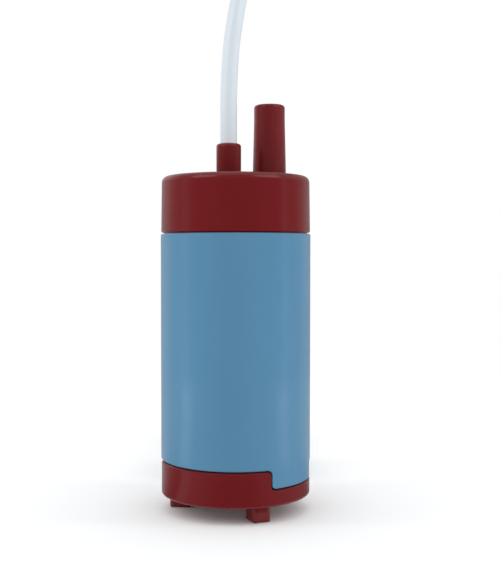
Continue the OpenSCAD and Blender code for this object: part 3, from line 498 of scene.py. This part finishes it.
NEAR_REFLECTION_GREYS = (
    (-180, 0.7), (-119, 0.5), (-100, 0.2), (-82, 0.08), (-75, 0.55), (-65, 0.55), (-59, 0.33),
    (-48, 0.28), (-36, 0.2), (-14, 0.03), (22, 0.03), (34, 0.25), (48, 0.3), (72, 0.34), (92, 0.3),
    (110, 0.2), (131, 0.5), (180, 0.7),
)
FAR_REFLECTION_GREYS = (
    (-180, 0.5), (-140, 0.5), (-122, 0.6), (-106, 0.38), (-88, 0.4), (-81, 1.0), (-69, 1.0),
    (-62, 0.35), (-54, 0.2), (-36, 0.15), (-14, 0.03), (26, 0.03), (48, 0.15), (60, 0.3), (67, 0.95),
    (78, 0.95), (85, 0.38), (100, 0.38), (116, 0.48), (131, 0.52), (180, 0.5),
)


def reflection_greys_material(name, greys):
    """Matt greys of painted reflections that change with the angle about the z axis, counted from the
    front.
    """
    material, tree, shader, coords = matt_material(name)
    apart = tree.nodes.new("ShaderNodeSeparateXYZ")
    tree.links.new(coords, apart.inputs["Vector"])
    ahead = tree.nodes.new("ShaderNodeMath")
    ahead.operation = "MULTIPLY"
    ahead.inputs[1].default_value = -1
    tree.links.new(apart.outputs["Y"], ahead.inputs[0])
    turn = tree.nodes.new("ShaderNodeMath")
    turn.operation = "ARCTAN2"
    tree.links.new(apart.outputs["X"], turn.inputs[0])
    tree.links.new(ahead.outputs["Value"], turn.inputs[1])
    ramp = tree.nodes.new("ShaderNodeValToRGB")
    tree.links.new(spread(tree, turn.outputs["Value"], 0, 1, -math.pi, math.pi), ramp.inputs["Fac"])
    stops = ramp.color_ramp.elements
    for angle, _ in greys[1:-1]:
        stops.new((angle + 180) / 360)
    for stop, (_, grey) in zip(stops, greys):
        stop.color = (grey, grey, grey, 1)
    tree.links.new(ramp.outputs["Color"], shader.inputs["Base Color"])
    return material


def reflection_card_ring(name, low, high, greys):
    """A staged ring between two points of its section, each a radius and a height, seen only in
    reflections, where its greys are painted reflections.
    """
    turns = [i * math.tau / CARD_STEPS for i in range(CARD_STEPS + 1)]
    rows = [[(radius * math.sin(turn), -radius * math.cos(turn), z) for turn in turns]
            for radius, z in (low, high)]
    card = stage_piece(name, rows, reflection_greys_material(name, greys))
    card.visible_camera = False
    card.visible_diffuse = False
    card.visible_transmission = False
    card.visible_volume_scatter = False
    card.visible_shadow = False


# Painted reflections: the dark front, the strip lights and the paler sides and back, on rings seen only by
# reflections
reflection_card_ring("reflection_high_card", (CARD_RADIUS, CARD_SPLIT), (CARD_RADIUS, CARD_HEIGHT), HIGH_REFLECTION_GREYS)
reflection_card_ring("reflection_low_card", (CARD_RADIUS, CARD_LIFT), (CARD_RADIUS, CARD_SPLIT), LOW_REFLECTION_GREYS)
reflection_card_ring("reflection_near_card", (CARD_INNER, CARD_LIFT), (CARD_MIDDLE, CARD_LIFT), NEAR_REFLECTION_GREYS)
reflection_card_ring("reflection_far_card", (CARD_MIDDLE, CARD_LIFT), (CARD_RADIUS, CARD_LIFT), FAR_REFLECTION_GREYS)


# Light

STRIP_WIDTH = 0.05
STRIP_HEIGHT = 0.34
STRIP_DISTANCE = 0.30
STRIP_MIDDLE = 0.12
STRIP_TURN = 80
STRIP_RADIANCE = 4.0
RIM_WIDTH = 0.24
RIM_LENGTH = 0.18
RIM_DISTANCE = 0.36
RIM_MIDDLE = 0.105
RIM_TURN = 54
RIM_RISE = 34
RIM_RADIANCE = 2.0

world = bpy.data.worlds.new("studio")
world.use_nodes = True
background = world.node_tree.nodes["Background"]
background.inputs["Color"].default_value = (1, 1, 1, 1)
background.inputs["Strength"].default_value = 1.0
scene.world = world


def softbox(name, width, length, radiance):
    """A rectangular lamp of the size in metres and the radiance given."""
    data = bpy.data.lights.new(name, "AREA")
    data.shape = "RECTANGLE"
    data.size = width
    data.size_y = length
    data.energy = radiance * math.pi * width * length
    light = bpy.data.objects.new(name, data)
    scene.collection.objects.link(light)
    return light


def strip_light(name, turn):
    """A tall narrow softbox beside the object, turned from the front by the angle given."""
    light = softbox(name, STRIP_WIDTH, STRIP_HEIGHT, STRIP_RADIANCE)
    a = math.radians(turn)
    light.location = (STRIP_DISTANCE * math.sin(a), -STRIP_DISTANCE * math.cos(a), STRIP_MIDDLE)
    light.rotation_euler = (math.radians(90), 0, a)
    light.visible_glossy = False


def rim_light(name, turn):
    """A softbox above and beside the object that only reflections see."""
    light = softbox(name, RIM_WIDTH, RIM_LENGTH, RIM_RADIANCE)
    a = math.radians(turn)
    up = math.radians(RIM_RISE)
    way = Vector((math.cos(up) * math.sin(a), -math.cos(up) * math.cos(a), math.sin(up)))
    light.location = Vector((0, 0, RIM_MIDDLE)) + way * RIM_DISTANCE
    light.rotation_euler = way.to_track_quat("Z", "Y").to_euler()
    light.visible_camera = False
    light.visible_diffuse = False
    light.visible_transmission = False


strip_light("strip_left", -STRIP_TURN)
strip_light("strip_right", STRIP_TURN)
rim_light("rim_left", -RIM_TURN)
rim_light("rim_right", RIM_TURN)


# Camera

CAMERA_BACK = 321.7
CAMERA_UP = 81.85
CAMERA_TILT = 1.99
SENSOR_WIDTH = 36
FOCAL_PX = 999.2
FRAME_LONG_PX = 579
AXIS_PX = 235.6
FRAME_MIDDLE_PX = 250

camera_data = bpy.data.cameras.new("camera")
camera = bpy.data.objects.new("camera", camera_data)
camera_data.sensor_width = SENSOR_WIDTH
camera_data.lens = FOCAL_PX * SENSOR_WIDTH / FRAME_LONG_PX
camera_data.shift_x = (FRAME_MIDDLE_PX - AXIS_PX) / FRAME_LONG_PX
camera_data.clip_start = 0.01
camera_data.clip_end = 100
camera.location = mm(0, -CAMERA_BACK, CAMERA_UP)
camera.rotation_euler = (math.radians(90 - CAMERA_TILT), 0, 0)
scene.collection.objects.link(camera)
scene.camera = camera
scene.view_settings.view_transform = "Standard"
